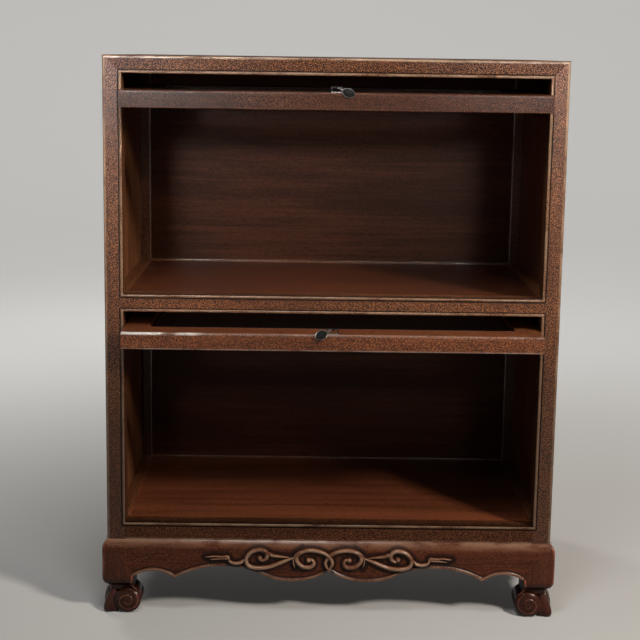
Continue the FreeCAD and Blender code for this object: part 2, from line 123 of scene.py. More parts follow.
class Wire:
    """A shader socket that takes part in sums."""

    def __init__(self, paint, socket):
        self.paint, self.socket = paint, socket

    def sum(self, operation, first, second):
        return self.paint.node("ShaderNodeMath", {"operation": operation}, {0: first, 1: second})

    def __add__(self, other):
        return self.sum("ADD", self, other)

    def __sub__(self, other):
        return self.sum("SUBTRACT", self, other)

    def __mul__(self, other):
        return self.sum("MULTIPLY", self, other)

    __radd__, __rmul__ = __add__, __mul__

    def __pow__(self, other):
        return self.sum("POWER", self, other)


class Paint:
    """One procedural material on object coordinates."""

    def __init__(self, name):
        self.material = bpy.data.materials.new(name)
        self.material.use_nodes = True
        self.tree = self.material.node_tree
        self.shader = self.tree.nodes["Principled BSDF"]

    def put(self, socket, value):
        if isinstance(value, Wire):
            self.tree.links.new(value.socket, socket)
        elif isinstance(value, (tuple, list)) and socket.type == "RGBA":
            socket.default_value = (*value[:3], 1.0)
        else:
            socket.default_value = value

    def node(self, kind, settings=None, inputs=None, output=0):
        made = self.tree.nodes.new(kind)
        for key, value in (settings or {}).items():
            setattr(made, key, value)
        for key, value in (inputs or {}).items():
            self.put(made.inputs[key], value)
        return Wire(self, made.outputs[output])

    def set(self, **values):
        for key, value in values.items():
            self.put(self.shader.inputs[key.replace("_", " ")], value)

    def parts(self):
        """Object coordinates, one by one."""
        split = self.tree.nodes.new("ShaderNodeSeparateXYZ")
        self.put(split.inputs[0], self.node("ShaderNodeTexCoord", output="Object"))
        return [Wire(self, socket) for socket in split.outputs]

    def place(self, axis="X", stretch=1.0):
        """Object coordinates with the grain laid along the first axis."""
        x, y, z = self.parts()
        along, side, up = {"X": (x, y, z), "Y": (y, z, x), "Z": (z, x, y)}[axis]
        return self.node("ShaderNodeCombineXYZ", None, {0: along * stretch, 1: side, 2: up})

    def noise(self, place, scale, detail=3.0, roughness=0.55, distortion=0.0):
        return self.node("ShaderNodeTexNoise", None, {"Vector": place, "Scale": scale, "Detail": detail,
                                                      "Roughness": roughness, "Distortion": distortion})

    def between(self, value, low, high):
        """0 below low, 1 above high, smooth between."""
        return self.node("ShaderNodeMapRange", {"interpolation_type": "SMOOTHSTEP"},
                         {"Value": value, "From Min": low, "From Max": high})

    def blend(self, factor, first, second, kind="MIX"):
        return self.node("ShaderNodeMix", {"data_type": "RGBA", "blend_type": kind},
                         {0: factor, 6: first, 7: second}, output=2)

    def attribute(self, name):
        return self.node("ShaderNodeAttribute", {"attribute_name": name}, output="Fac")

    def bump(self, height, distance, strength):
        return self.node("ShaderNodeBump", None, {"Strength": strength, "Distance": distance, "Height": height})


def scaled(tone, factor):
    return tuple(min(1.0, c * factor) for c in tone)


def wood(name, axis, tone=1.0, pores=1.0, warmth=1.0, roughness=None, shine=0.35, darker_below=0.0, wear_and_highlight_tone=None,
         lines=0.45, streaks=190.0, darker_from=(0.66, 0.30)):
    """Oiled hardwood with the grain along one axis.

    pores: how much the open pores show; the darkening below: how much darker the wood is painted below the two
    given heights, as painted shade on the posts and a darker foot on the legs;
    lines: how dark the fine lines of the grain are; streaks: broader streaks to a metre.
    """
    look = bpy.context.scene.cabinet_wood
    paint = Paint(name)
    broad = paint.noise(paint.place(axis, 0.14), 11.0, 3.0, 0.55, 0.5)
    streak = paint.noise(paint.place(axis, 0.04), streaks, 4.0, 0.62, 0.25)
    figure = paint.between(broad * 0.5 + streak * 0.5, 0.39, 0.61)
    dark, middle, light = (scaled((c[0] * warmth, c[1], c[2]), tone)
                           for c in (look.dark, look.middle, look.light))
    grain = paint.blend(figure, scaled(middle, 0.58), scaled(middle, 1.22))
    ticks = paint.noise(paint.place(axis, 0.6), 880.0, 1.0, 0.5, 0.3)
    patch = 0.4 + 0.6 * paint.between(paint.noise(paint.place(axis, 0.4), 12.0, 3.0), 0.34, 0.62)
    grain = paint.blend(paint.between(ticks, 0.54, 0.63) * patch * (0.1 + 0.9 * pores), grain, light)
    grain = paint.blend(paint.between(ticks, 0.52, 0.45) * (0.18 + 0.77 * pores), grain, dark)
    fine = paint.between(paint.noise(paint.place(axis, 0.1), 900.0, 2.0, 0.5, 0.1), 0.56, 0.66)
    grain = paint.blend(fine * lines, grain, dark)
    pale = paint.between(ticks, 0.57, 0.63) * patch * (look.flecks * pores)
    grain = paint.blend(pale, grain, scaled(look.fleck, min(1.0, tone)))
    # Edges, beads and crowns are painted paler with a glossier coat: partly wear, partly painted highlight.
    wear_highlight_share = paint.attribute("wear") * paint.between(paint.noise(paint.place(axis, 0.4), 60.0, 3.0), 0.25, 0.6)
    grain = paint.blend(wear_highlight_share * 0.7, grain, wear_and_highlight_tone or scaled(light, 1.6))
    # Painted shade: the quirks, the groove beside the apron's edge bead and the ground round the carved strands are
    # painted darker.
    shade_mask = paint.attribute("hollow")
    grain = paint.blend(shade_mask * 0.9, grain, scaled(dark, 0.5))
    # Darker towards the bottom: painted shade on the posts, a darker foot on the legs.
    if darker_below:
        low = paint.between(paint.parts()[2], *darker_from)
        grain = paint.blend(low * darker_below, grain, DARKER_BELOW_TONE, "MULTIPLY")
    rough = (roughness or look.gloss) + (streak - 0.5) * 0.16 + pale * 0.12 - wear_highlight_share * 0.1 + shade_mask * 0.2
    height = streak * 0.25 + ticks * (0.1 + 0.3 * pores) - fine * 0.25
    paint.set(Base_Color=grain, Roughness=rough, Normal=paint.bump(height, 0.25 * MM, 0.35),
              Specular_IOR_Level=shine, Coat_Weight=0.05 + wear_highlight_share * 0.95, Coat_Roughness=0.26)
    return paint.material


def metal(name, source, lighter, roughness, tarnish, wear_and_highlight_tone, bare):
    """Worn metal with tarnish in patches and brighter edges; bare is the share of clean metal on the flats."""
    tone = scaled(getattr(bpy.context.scene.cabinet_metal, source), lighter)
    paint = Paint(name)
    place = paint.place()
    patch = paint.between(paint.noise(place, 140.0, 5.0, 0.6), 0.38, 0.66)
    grit = paint.noise(place, 1500.0, 3.0)
    wear_highlight_share = paint.attribute("wear")
    hue = paint.blend(patch * tarnish, tone, scaled(tone, 0.35))
    hue = paint.blend(wear_highlight_share * 0.85, hue, wear_and_highlight_tone)
    paint.set(Base_Color=hue, Metallic=bare + wear_highlight_share * (1.0 - bare) - patch * (0.25 * bare),
              Roughness=roughness + patch * 0.18 - wear_highlight_share * 0.1, Specular_IOR_Level=0.06,
              Normal=paint.bump(grit * 0.4 + patch * 0.6, 0.12 * MM, 0.5))
    return paint.material


def glass(name):
    """Clear pane with a faint film of dust."""
    paint = Paint(name)
    film = paint.between(paint.noise(paint.place(), 9.0, 4.0), 0.4, 0.75)
    paint.set(Base_Color=PANE, Roughness=0.04 + film * 0.04, Alpha=0.15 + film * 0.06, Specular_IOR_Level=1.0)
    return paint.material


def seen_directly(paint):
    """1 on rays from the camera, in mirrors and through glass."""
    rays = paint.tree.nodes.new("ShaderNodeLightPath").outputs
    camera, through, mirrored = (Wire(paint, rays[name])
                                 for name in ("Is Camera Ray", "Is Transmission Ray", "Is Glossy Ray"))
    return mirrored.sum("MAXIMUM", camera.sum("MAXIMUM", camera, through), mirrored)


def plain_floor(name, tone):
    """Pale floor and backdrop with a hint of tooth, which throw little light back at the object."""
    paint = Paint(name)
    seen = seen_directly(paint)
    x, y, _ = paint.parts()
    behind = paint.between(y, -0.6, 2.6)
    far = paint.between((x * x + y * y) ** 0.5, 1.2, 3.8)
    behind = behind + far - behind * far
    speck = paint.between(paint.noise(paint.place(), 240.0, 3.0), 0.35, 0.65)
    shown = paint.blend(speck * 0.1, tone, scaled(tone, 0.9))
    paint.set(Base_Color=paint.blend(seen, scaled(tone, 0.2), shown), Roughness=0.9, Specular_IOR_Level=0.2,
              Emission_Color=paint.blend(seen * behind, (0.0, 0.0, 0.0), tone), Emission_Strength=0.75)
    return paint.material


# Tones of edges with wear and painted highlight, of edges in painted shade, of the painted darkening below, and of
# the panes.
# Arrises and beads of the front frame: wear and painted highlight.
FRONT_EDGE_WEAR_AND_HIGHLIGHT = (0.40, 0.25, 0.145)
# Painted highlight along the left stretch of the lower door's front arris.
PAINTED_ARRIS_HIGHLIGHT = (0.92, 0.84, 0.76)
# Edges of the back and side members: a darker copy of the edge tone, as painted shade.
EDGE_TONE_IN_SHADE = (0.17, 0.075, 0.036)
# Crowns of the carving, the edge bead and the shoulder: painted highlight and wear.
CARVING_WEAR_AND_HIGHLIGHT = (0.46, 0.26, 0.15)
# Multiplied in below a given height: painted shade on the posts, a darker foot on the legs.
DARKER_BELOW_TONE = (0.30, 0.25, 0.23)
IRON_RIM = (0.52, 0.50, 0.47)
BRASS_RIM = (0.72, 0.56, 0.30)
PANE = (0.05, 0.06, 0.055)

APRON = dict(tone=0.62, pores=0.28, warmth=1.3, roughness=0.28, shine=0.16, wear_and_highlight_tone=CARVING_WEAR_AND_HIGHLIGHT)
LEVEL = dict(axis="X", pores=0.15, warmth=1.15, lines=0.8, streaks=70.0)
INNER = dict(tone=0.48, pores=0.1, roughness=0.55, shine=0.1)
DOOR_WOOD = dict(warmth=1.1, lines=0.8)
WOODS = {
    # Posts and front rails are one wood: the top and bottom rails are painted darker and the middle rail lighter,
    # as painted shade and painted light.
    "post_wood": dict(axis="Z", tone=1.0, pores=1.05, darker_below=0.6, wear_and_highlight_tone=FRONT_EDGE_WEAR_AND_HIGHLIGHT),
    "top_rail_wood": dict(axis="X", tone=0.70, pores=1.0, shine=0.12, wear_and_highlight_tone=FRONT_EDGE_WEAR_AND_HIGHLIGHT),
    "rail_wood": dict(axis="X", tone=1.22, pores=1.05, shine=0.3, wear_and_highlight_tone=FRONT_EDGE_WEAR_AND_HIGHLIGHT),
    "bottom_rail_wood": dict(axis="X", tone=0.48, pores=1.05, warmth=1.2, shine=0.14, wear_and_highlight_tone=FRONT_EDGE_WEAR_AND_HIGHLIGHT),
    "back_post_wood": dict(axis="Z", tone=0.8, pores=0.5, darker_below=0.6, wear_and_highlight_tone=EDGE_TONE_IN_SHADE),
    "back_rail_wood": dict(axis="X", tone=0.85, pores=0.6, shine=0.25, wear_and_highlight_tone=EDGE_TONE_IN_SHADE),
    "side_rail_wood": dict(axis="Y", tone=1.0, pores=0.6, shine=0.28, wear_and_highlight_tone=EDGE_TONE_IN_SHADE),
    "apron_wood": dict(APRON, axis="X"),
    "side_apron_wood": dict(APRON, axis="Y"),
    # The legs are painted darker towards the floor.
    "leg_wood": dict(axis="Z", tone=0.62, pores=0.24, warmth=1.3, roughness=0.22, shine=0.2, darker_below=0.75,
                     darker_from=(0.068, 0.046)),
    "top_panel_wood": dict(LEVEL, tone=0.74, roughness=0.5, shine=0.16),
    "shelf_panel_wood": dict(LEVEL, tone=0.74, roughness=0.36),
    "floor_panel_wood": dict(LEVEL, tone=1.08, roughness=0.36),
    # The side panels are painted lighter to stand in for light on the side walls: painted light.
    "side_panel_wood": dict(axis="Z", tone=1.75, pores=0.1, warmth=0.85, roughness=0.45, shine=0.14),
    "back_panel_wood": dict(axis="X", tone=0.52, pores=0.1, warmth=1.05, roughness=0.5, shine=0.1, lines=0.6,
                            streaks=110.0),
    "inner_wood_y": dict(INNER, axis="Y"),
    "inner_wood_x": dict(INNER, axis="X"),
    # Both doors are one wood: the upper door's pieces are painted darker, as painted shade, and the lower door's
    # lighter, as painted light.
    "upper_door_rail_wood": dict(DOOR_WOOD, axis="X", tone=0.36, pores=0.7, roughness=0.36, shine=0.2),
    "lower_door_rail_wood": dict(DOOR_WOOD, axis="X", tone=1.28, pores=0.6, roughness=0.33, shine=0.3,
                                 wear_and_highlight_tone=PAINTED_ARRIS_HIGHLIGHT),
    "upper_door_stile_wood": dict(DOOR_WOOD, axis="Y", tone=0.42, pores=0.5, roughness=0.36, shine=0.2),
    "lower_door_stile_wood": dict(DOOR_WOOD, axis="Y", tone=1.05, pores=0.5, roughness=0.34, shine=0.28),
}
METALS = {
    "pull_iron": dict(source="iron", lighter=1.0, roughness=0.34, tarnish=0.8, wear_and_highlight_tone=IRON_RIM, bare=0.04),
    "pull_wire": dict(source="iron", lighter=5.0, roughness=0.4, tarnish=0.5, wear_and_highlight_tone=IRON_RIM, bare=0.6),
    "brass": dict(source="brass", lighter=1.0, roughness=0.36, tarnish=0.6, wear_and_highlight_tone=BRASS_RIM, bare=1.0),
}
_materials = {}


def material(name):
    """Each finish is made once and shared by like pieces."""
    if name not in _materials:
        if name in WOODS:
            _materials[name] = wood(name, **WOODS[name])
        elif name in METALS:
            _materials[name] = metal(name, **METALS[name])
        else:
            _materials[name] = glass(name)
    return _materials[name]


# Shapes.

SMOOTH_BELOW = math.radians(38.0)
EASED_ANGLES = math.radians(55.0), math.radians(125.0)
FLAT_BELOW = math.radians(0.6)
WIDE_AREA = (12.0 * MM) ** 2
NO_EASING = 1.0  # longer than any edge, so that no edge is eased


def new_shape():
    """A shape whose points carry their wear and painted highlight, and their painted shade."""
    bm = bmesh.new()
    bm.verts.layers.float.new("wear")
    bm.verts.layers.float.new("hollow")
    return bm


def finish_piece(bm, node, ending, finish, body="cabinet"):
    """Turns a shape into a piece that rides on a body in place of its CAD node."""
    name = f"{node}_{ending}"
    bmesh.ops.recalc_face_normals(bm, faces=bm.faces)
    if bm.calc_volume(signed=True) < 0.0:
        bmesh.ops.reverse_faces(bm, faces=bm.faces)
    mesh = bpy.data.meshes.new(name)
    bm.to_mesh(mesh)
    bm.free()
    if "custom_normal" in mesh.attributes:
        mesh.attributes.remove(mesh.attributes["custom_normal"])
    mesh.shade_smooth()
    mesh.set_sharp_from_angle(angle=SMOOTH_BELOW)
    mesh.materials.append(material(finish))
    piece = bpy.data.objects.new(name, mesh)
    bpy.context.scene.collection.objects.link(piece)
    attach(piece, body)
    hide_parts(node)


def loft(bm, sections):
    """Extrudes the first section from one to the next; each point is (place, wear)."""
    wear = bm.verts.layers.float["wear"]
    face = bm.faces.new([bm.verts.new(place) for place, _ in sections[0]])
    for vert, (_, amount) in zip(face.verts, sections[0]):
        vert[wear] = amount
    for i, section in enumerate(sections[1:]):
        made = bmesh.ops.extrude_face_region(bm, geom=[face])
        if i:
            bm.faces.remove(face)
        face = next(g for g in made["geom"] if isinstance(g, bmesh.types.BMFace))
        for vert, (place, amount) in zip(face.verts, section):
            vert.co = place
            vert[wear] = amount


def rounded(corners, guard=2.4 * MM, steps=3):
    """A flat outline of (u, v, radius) corners as (u, v, wear and painted highlight) points with rounded corners.
    """
    out = []
    count = len(corners)
    for i, (u, v, radius) in enumerate(corners):
        here = Vector((u, v))
        if radius <= 0.0:
            out.append((u, v, 0.0))
            continue
        before = Vector(corners[i - 1][:2]) - here
        after = Vector(corners[(i + 1) % count][:2]) - here
        start, end = here + before.normalized() * radius, here + after.normalized() * radius
        out.append((*(start + before.normalized() * guard), 0.0))
        for k in range(steps + 1):
            t = k / steps
            out.append((*(start * (1 - t) ** 2 + here * 2 * t * (1 - t) + end * t ** 2), 1.0))
        out.append((*(end + after.normalized() * guard), 0.0))
    return out


QUIRK_FROM, QUIRK_TO = 1.4 * MM, 5.0 * MM


def paint_quirk_shade(bm, front):
    """Marks the grooves behind a front face for painted shade."""
    hollow = bm.verts.layers.float["hollow"]
    for vert in bm.verts:
        if QUIRK_FROM < vert.co.y - front < QUIRK_TO:
            vert[hollow] = 1.0


def sharp_edges(bm, shortest):
    """The long outer edges between faces that stand about square to each other."""
    low, high = EASED_ANGLES
    return [edge for edge in bm.edges if len(edge.link_faces) == 2 and edge.calc_length() >= shortest
            and low < edge.calc_face_angle(0.0) < high and edge.is_convex]


def fill_from(bm, node):
    """Fills a shape with a merged copy of a CAD node."""
    source = bpy.data.objects[node]
    bm.from_mesh(source.data)
    bm.transform(source.matrix_world)
    bmesh.ops.remove_doubles(bm, verts=bm.verts, dist=TINY)
    return bm


def cad_copy(node):
    """A copy of a CAD node whose flat faces are whole."""
    bm = fill_from(new_shape(), node)
    bmesh.ops.dissolve_limit(bm, angle_limit=FLAT_BELOW, verts=bm.verts, edges=bm.edges)
    return bm


def bevelled(bm, edges, offset, clamped):
    return bmesh.ops.bevel(bm, geom=edges, offset=offset, offset_type="OFFSET", segments=2, profile=0.5,
                           affect="EDGES", clamp_overlap=clamped, material=-1)


def softened(node, finish, body="cabinet", radius=None, shortest=14.0 * MM, guard=2.2 * MM):
    """A copy of a CAD node with its edges eased, down to the shortest; guard keeps the faces beside them flat."""
    bm = cad_copy(node)
    wear = bm.verts.layers.float["wear"]
    radius = bpy.context.scene.cabinet_moulding.softening if radius is None else radius
    edges = sharp_edges(bm, shortest)
    if edges:
        made = bevelled(bm, edges, radius, False)
        eased, rounds = set(made["verts"]), set(made["faces"])
        wide = [f for f in bm.faces if f not in rounds and f.calc_area() > WIDE_AREA]
        bmesh.ops.inset_individual(bm, faces=wide, thickness=guard, use_even_offset=False)
        low, high = limits(node)
        for vert in bm.verts:
            vert.co = Vector([min(max(vert.co[i], low[i]), high[i]) for i in range(3)])
            vert[wear] = 1.0 if vert in eased else 0.0
    finish_piece(bm, node, "finished", finish, body)


def keep_beyond(bm, node, place, way):
    """Adds the part of a CAD node that lies beyond a plane, such as a tenon."""
    part = fill_from(bmesh.new(), node)
    bmesh.ops.bisect_plane(part, geom=part.verts[:] + part.edges[:] + part.faces[:], dist=0.1 * TINY,
                           plane_co=place, plane_no=way, clear_inner=True)
    mesh = bpy.data.meshes.new("beyond")
    part.to_mesh(mesh)
    part.free()
    bm.from_mesh(mesh)
    bpy.data.meshes.remove(mesh)


def limits(node):
    """The low and high corner of a CAD node."""
    low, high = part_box(node)
    return low, high


# Front framing.

POST, RAIL = 32.0 * MM, 30.0 * MM
MIDDLE_RAIL_UP = 407.0 * MM
SHOE_GROOVE = {"depth": 9.6 * MM, "setback": 9.2 * MM, "low": 47.8 * MM, "high": 33.2 * MM}
# A bead across its width: share of the width, depth behind the face in millimetres, wear and painted highlight.
BEAD = ((0.0, 3.2, 0.0), (0.0, 1.7, 0.0), (0.07, 1.05, 0.6), (0.2, 0.5, 0.6), (0.36, 0.2, 0.6), (0.5, 0.12, 0.6))
BEAD += tuple((1.0 - out, depth, wear_highlight_share) for out, depth, wear_highlight_share in reversed(BEAD[:-1]))


def bead_strip(bm, along, fixed, start, end, face, facing):
    """A half-round strip beside an opening: along is 0 for x or 2 for z, facing points away from the opening."""
    width = bpy.context.scene.cabinet_moulding.bead
    sections = []
    for stop, mitre in ((start, -1.0), (end, 1.0)):
        ring = []
        for out, depth, wear_highlight_share in BEAD:
            point = Vector((0.0, face + depth * MM, 0.0))
            point[along] = stop + mitre * out * width
            point[2 - along] = fixed + facing * out * width
            ring.append((point, wear_highlight_share))
        sections.append(ring)
    loft(bm, sections)


class CABINET_OT_front_frame(bpy.types.Operator):
    """Front posts and rails with beaded openings"""
    bl_idname = "cabinet.front_frame"
    bl_label = "Front frame"

    def execute(self, context):
        edge = context.scene.cabinet_moulding
        rebate, depth, arris = edge.bead + edge.quirk, edge.quirk_depth, edge.arris
        post_low, _ = limits("front_left_post")
        front, inner_y = post_low.y, post_low.y + POST
        outer_x, inner_x = post_low.x, post_low.x + POST
        case_top = limits("top_front_rail")[1].z
        stand_top = limits("bottom_front_rail")[0].z
        top_low, floor_level = case_top - RAIL, stand_top + RAIL
        middle_low = stand_top + MIDDLE_RAIL_UP
        middle_high = middle_low + RAIL
        openings = ((floor_level, middle_low), (middle_high, top_low))

        def mitre_top(x, y):
            return top_low + min(inner_x - x, inner_y - y) * RAIL / POST

        # The post in plan: whole, rebated beside an opening, and grooved for the shoes as well.
        arris_side = [(outer_x, front, arris), (inner_x - rebate, front, 0.0)]
        groove_x, groove_y = inner_x - SHOE_GROOVE["depth"], front + SHOE_GROOVE["setback"]
        plain_back = [(inner_x, groove_y, 0.0), (inner_x, groove_y + TINY, 0.0), (inner_x, inner_y, 0.0),
                      (outer_x, inner_y, 0.0)]
        grooved_back = [(inner_x, groove_y, 0.0), (groove_x, groove_y, 0.0), (groove_x, inner_y, 0.0),
                        (outer_x, inner_y, 0.0)]
        beside = [(inner_x - rebate, front + depth, 0.0), (inner_x, front + depth, 0.0)]
        whole = rounded(arris_side + [(inner_x - rebate + TINY, front, 0.0), (inner_x, front, 0.0)] + plain_back)
        cut = rounded(arris_side + beside + plain_back)
        grooved = rounded(arris_side + beside + grooved_back)
        stops = [(stand_top, whole)]
        for low, high in openings:
            groove_low, groove_high = high - SHOE_GROOVE["low"], high - SHOE_GROOVE["high"]
            stops += [(low - rebate, whole), (low - rebate + TINY, cut), (groove_low, cut),
                      (groove_low + TINY, grooved), (groove_high, grooved), (groove_high + TINY, cut)]
            if high < top_low:
                stops += [(high + rebate, cut), (high + rebate + TINY, whole)]
        for side, name in ((1.0, "front_left_post"), (-1.0, "front_right_post")):
            bm = new_shape()
            sections = [[(Vector((side * x, y, z)), w) for x, y, w in shape] for z, shape in stops]
            sections.append([(Vector((side * x, y, mitre_top(x, y))), w) for x, y, w in cut])
            loft(bm, sections)
            for low, high in openings:
                bead_strip(bm, 2, side * inner_x, low, high, front, -side)
            paint_quirk_shade(bm, front)
            finish_piece(bm, name, "moulded", "post_wood")

        def rail(name, low, high, beads, finish, mitred=False):
            bm = new_shape()
            corners = [(front, high, arris if mitred else 0.0)]
            if "high" in beads:
                corners = [(front + depth, high, 0.0), (front + depth, high - rebate, 0.0),
                           (front, high - rebate, 0.0)]
            if "low" in beads:
                corners += [(front, low + rebate, 0.0), (front + depth, low + rebate, 0.0),
                            (front + depth, low, 0.0)]
            else:
                corners += [(front, low, 1.0 * MM)]
            corners += [(inner_y, low, 0.0), (inner_y, high, 0.0)]
            outline = rounded(corners)
            sections = []
            for side in (1.0, -1.0):
                ring = []
                for y, z, w in outline:
                    x = inner_x
                    if mitred:
                        x = max(inner_x - (z - low) * POST / RAIL, outer_x + (y - front))
                    ring.append((Vector((side * x, y, z)), w))
                sections.append(ring)
            loft(bm, sections)
            if not mitred:
                for way in (-1.0, 1.0):
                    keep_beyond(bm, name, (-way * inner_x, 0.0, 0.0), (way, 0.0, 0.0))
            for which, z, facing in (("high", high, -1.0), ("low", low, 1.0)):
                if which in beads:
                    bead_strip(bm, 0, z, inner_x, -inner_x, front, facing)
            paint_quirk_shade(bm, front)
            finish_piece(bm, name, "moulded", finish)

        rail("top_front_rail", top_low, case_top, ("low",), "top_rail_wood", mitred=True)
        rail("middle_front_rail", middle_low, middle_high, ("low", "high"), "rail_wood")
        rail("bottom_front_rail", stand_top, floor_level, ("high",), "bottom_rail_wood")
        return {"FINISHED"}


class CABINET_OT_rest_of_frame(bpy.types.Operator):
    """Back posts and the side and back rails"""
    bl_idname = "cabinet.rest_of_frame"
    bl_label = "Rest of frame"

    def execute(self, context):
        for side in ("left", "right"):
            softened(f"back_{side}_post", "back_post_wood", radius=1.2 * MM)
            for level in ("top", "middle", "bottom"):
                softened(f"{level}_{side}_rail", "side_rail_wood")
        for level in ("top", "middle", "bottom"):
            softened(f"{level}_back_rail", "back_rail_wood")
        return {"FINISHED"}


class CABINET_OT_panels(bpy.types.Operator):
    """Level, side and back panels with their battens"""
    bl_idname = "cabinet.panels"
    bl_label = "Panels"

    def execute(self, context):
        for node in ("top_panel", "shelf_panel", "floor_panel"):
            softened(node, node + "_wood")
        for level in ("upper", "lower"):
            softened(f"{level}_back_panel", "back_panel_wood")
            for side in ("left", "right"):
                softened(f"{level}_{side}_panel", "side_panel_wood")
        softened("panel_battens", "inner_wood_y")
        return {"FINISHED"}


# Stand.

# Shaped lower edges: (share of the half length, share of the drop), from one leg to the middle.
FRONT_EDGE = ((1.0, 0.957), (0.89, 0.79), (0.788, 0.975), (0.583, 0.652), (0.354, 0.826), (0.126, 1.0),
              (0.0, 0.746))
SIDE_EDGE = ((1.0, 0.957), (0.79, 0.79), (0.6, 0.975), (0.32, 0.72), (0.0, 0.9))
STAND_MM = {"top": 134.0, "drop": 69.0, "thick": 24.0, "leg": 54.0, "slope": 14.0, "slope_in": 8.5}
STAND = {key: value * MM for key, value in STAND_MM.items()}
SLOPE_CURVE = 1.6
COLUMN = 1.1 * MM
BEAD_SUNK, BEAD_GROOVE, BEAD_END = 0.2 * MM, 1.0 * MM, 6.0 * MM
# How far the painted shade round the carved strands reaches, and over what distance it fades.
SHADE_REACH, SHADE_FADE = 10.5 * MM, 4.0 * MM


def arc_points(first, middle, last, count):
    """Points on the circle through three flat points."""
    a, b, c = Vector(first), Vector(middle), Vector(last)
    turn = 2.0 * (a.x * (b.y - c.y) + b.x * (c.y - a.y) + c.x * (a.y - b.y))
    squares = [p.length_squared for p in (a, b, c)]
    centre = Vector(((squares[0] * (b.y - c.y) + squares[1] * (c.y - a.y) + squares[2] * (a.y - b.y)) / turn,
                     (squares[0] * (c.x - b.x) + squares[1] * (a.x - c.x) + squares[2] * (b.x - a.x)) / turn))
    angles = [math.atan2(p.y - centre.y, p.x - centre.x) for p in (a, b, c)]
    full = 2.0 * math.pi
    sweep, mid = (angles[2] - angles[0]) % full, (angles[1] - angles[0]) % full
    if mid > sweep:
        sweep -= full
    radius = (a - centre).length
    turns = [angles[0] + sweep * i / count for i in range(count + 1)]
    return [centre + radius * Vector((math.cos(turn), math.sin(turn))) for turn in turns]


def edge_line(shares, half):
    """The shaped lower edge from the middle to one end, as flat points."""
    points = [Vector((s * half, STAND["top"] - d * STAND["drop"])) for s, d in reversed(shares)]
    line = [points[0]]
    for i in range(0, len(points) - 2, 2):
        line += arc_points(points[i], points[i + 1], points[i + 2], 24)[1:]
    return line


def line_height(line, s):
    """Height of the shaped edge at s from the middle."""
    s = abs(s)
    for a, b in zip(line, line[1:]):
        if s <= b.x:
            return a.y + (b.y - a.y) * max(0.0, s - a.x) / max(TINY, b.x - a.x)
    return line[-1].y


# Rows of points from the top of an apron to its edge.
ROWS = (0.0, 0.03, 0.06, 0.1, 0.14, 0.18, 0.22, 0.27, 0.34, 0.42, 0.5, 0.58, 0.66, 0.73, 0.79, 0.83, 0.86, 0.885,
        0.905, 0.92, 0.935, 0.947, 0.958, 0.968, 0.977, 0.985, 0.993, 1.0)


def apron(bm, shares, half, place, strands=()):
    """A shaped apron: half is half the length between the legs; place maps (s, depth, z) to the frame."""
    carve = bpy.context.scene.cabinet_carving
    hollow, wear = bm.verts.layers.float["hollow"], bm.verts.layers.float["wear"]
    line = edge_line(shares, half)
    near = KDTree(2 * len(line))
    for i, p in enumerate(line):
        near.insert((p.x, p.y, 0.0), 2 * i)
        near.insert((-p.x, p.y, 0.0), 2 * i + 1)
    near.balance()
    close = KDTree(max(1, sum(len(s) for s in strands)))
    for i, p in enumerate([p for s in strands for p in s]):
        close.insert((p[0], p[1], 0.0), i)
    close.balance()
    top, leg, slope, thick = (STAND[key] for key in ("top", "leg", "slope", "thick"))
    bead, rise = carve.edge_bead, carve.edge_rise
    made = bmesh.ops.create_grid(bm, x_segments=int(half / COLUMN), y_segments=len(ROWS) - 1, size=0.5)
    end_drop = top - line[-1].y

    def shoulder(below):
        return max(0.0, 1.0 - below / slope)

    for vert in made["verts"]:
        u, v = vert.co.x + 0.5, ROWS[round((vert.co.y + 0.5) * (len(ROWS) - 1))]
        end_slope = STAND["slope_in"] * shoulder(end_drop * v) ** SLOPE_CURVE
        reach = half + leg - max(end_slope, min(end_drop * v, leg))
        s = reach * (2.0 * u - 1.0)
        z = top - v * (top - line_height(line, s))
        depth = STAND["slope_in"] * shoulder(top - z) ** SLOPE_CURVE
        # The sloped shoulder, which faces up to the light, is painted paler and glossier: painted highlight.
        vert[wear] = 0.6 * shoulder(top - z)
        gap = near.find((s, z, 0.0))[2] if abs(s) < half + BEAD_END else 1.0
        # The bead's crown is painted paler: wear and painted highlight.
        if gap < bead:
            depth -= rise * math.sqrt(max(0.0, 1.0 - (2.0 * gap / bead - 1.0) ** 2)) - BEAD_SUNK
            vert[wear] = 0.8 * math.sin(math.pi * gap / bead)
        # Beside the bead is a groove, which is also painted darker as painted shade.
        elif gap < bead * 1.5:
            sunk = math.sin(math.pi * (2.0 * gap / bead - 2.0))
            depth += BEAD_GROOVE * sunk
            vert[hollow] = sunk
        # Painted shade on the apron's ground round the carved strands.
        if strands:
            away = close.find((s, z, 0.0))[2]
            vert[hollow] = max(vert[hollow], min(1.0, max(0.0, (SHADE_REACH - away) / SHADE_FADE)))
        vert.co = Vector((s, depth, z))
    back = bmesh.ops.extrude_face_region(bm, geom=bm.faces[:])["geom"]
    inside = half + leg - thick
    for vert in (g for g in back if isinstance(g, bmesh.types.BMVert)):
        vert.co.x = min(max(vert.co.x, -inside), inside)
        vert.co.y = thick
        vert[hollow] = vert[wear] = 0.0
    for vert in bm.verts:
        vert.co = place(*vert.co)


